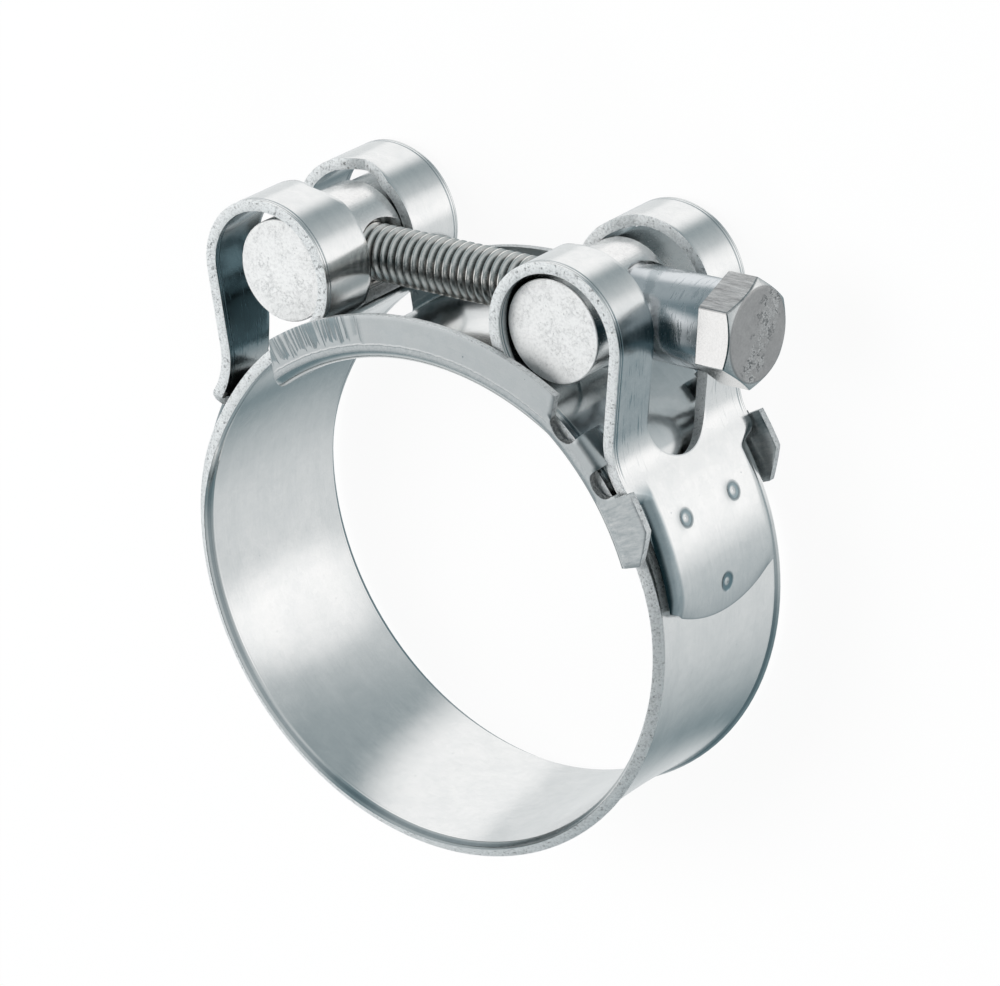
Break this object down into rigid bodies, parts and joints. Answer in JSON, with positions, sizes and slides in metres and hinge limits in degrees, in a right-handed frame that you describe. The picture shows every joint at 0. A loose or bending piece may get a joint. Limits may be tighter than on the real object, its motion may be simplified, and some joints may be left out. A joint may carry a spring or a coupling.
{
  "type": "t-bolt hose clamp",
  "caption": "Heavy-duty hose clamp: a folded steel band whose end loops hold trunnions, drawn together by a hex bolt over a channel that bridges the gap.",
  "frame": {"origin": "centre of the hose bore, half way across the band's width", "axes": "+Z along the hose, which is up as the clamp lies on its side; +X along the bolt towards its head; +Y from the hose towards the bolt"},
  "size_m": [0.066, 0.0691, 0.0242],
  "materials": {
    "band_steel": "bright satin sheet steel",
    "bridge_steel": "bright satin sheet steel",
    "trunnion_steel": "pale matt turned steel",
    "sleeve_steel": "satin turned steel",
    "bolt_steel": "grey cold-headed steel"
  },
  "bodies": {
    "bridge": {"bridge": "bridge_steel"},
    "band": {"band": "band_steel"},
    "threaded_trunnion": {"threaded_trunnion": "trunnion_steel"},
    "plain_trunnion": {"plain_trunnion": "trunnion_steel"},
    "bolt": {"bolt": "bolt_steel"},
    "sleeve": {"spacer_sleeve": "sleeve_steel"}
  },
  "joints": [
    {"name": "bolt_turn", "type": "hinge", "parent": "plain_trunnion", "child": "bolt", "pos_m": [0.0311, 0.0311, 0], "axis": [-1, 0, 0], "range_deg": [0, 3240]},
    {"name": "closing", "type": "hinge", "parent": "bridge", "child": "band", "pos_m": [0, 0, 0], "axis": [0, 0, -1], "range_deg": [0, 16.01], "deforming": ["band"]},
    {"name": "plain_trunnion_pivot", "type": "hinge", "parent": "bridge", "child": "plain_trunnion", "pos_m": [0.0171, 0.0311, 0], "axis": [0, 0, -1], "range_deg": [0, 8.01]},
    {"name": "threaded_trunnion_pivot", "type": "hinge", "parent": "band", "child": "threaded_trunnion", "pos_m": [-0.0171, 0.0311, 0], "axis": [0, 0, -1], "range_deg": [-8.01, 0]},
    {"name": "sleeve_spin", "type": "hinge", "parent": "plain_trunnion", "child": "sleeve", "pos_m": [0.026, 0.0311, 0], "axis": [1, 0, 0], "continuous": true}
  ],
  "couplings": [
    {"joint": "closing", "follows": "bolt_turn", "ratio": 0.00494},
    {"joint": "plain_trunnion_pivot", "follows": "bolt_turn", "ratio": 0.00247},
    {"joint": "threaded_trunnion_pivot", "follows": "bolt_turn", "ratio": -0.00247}
  ]
}
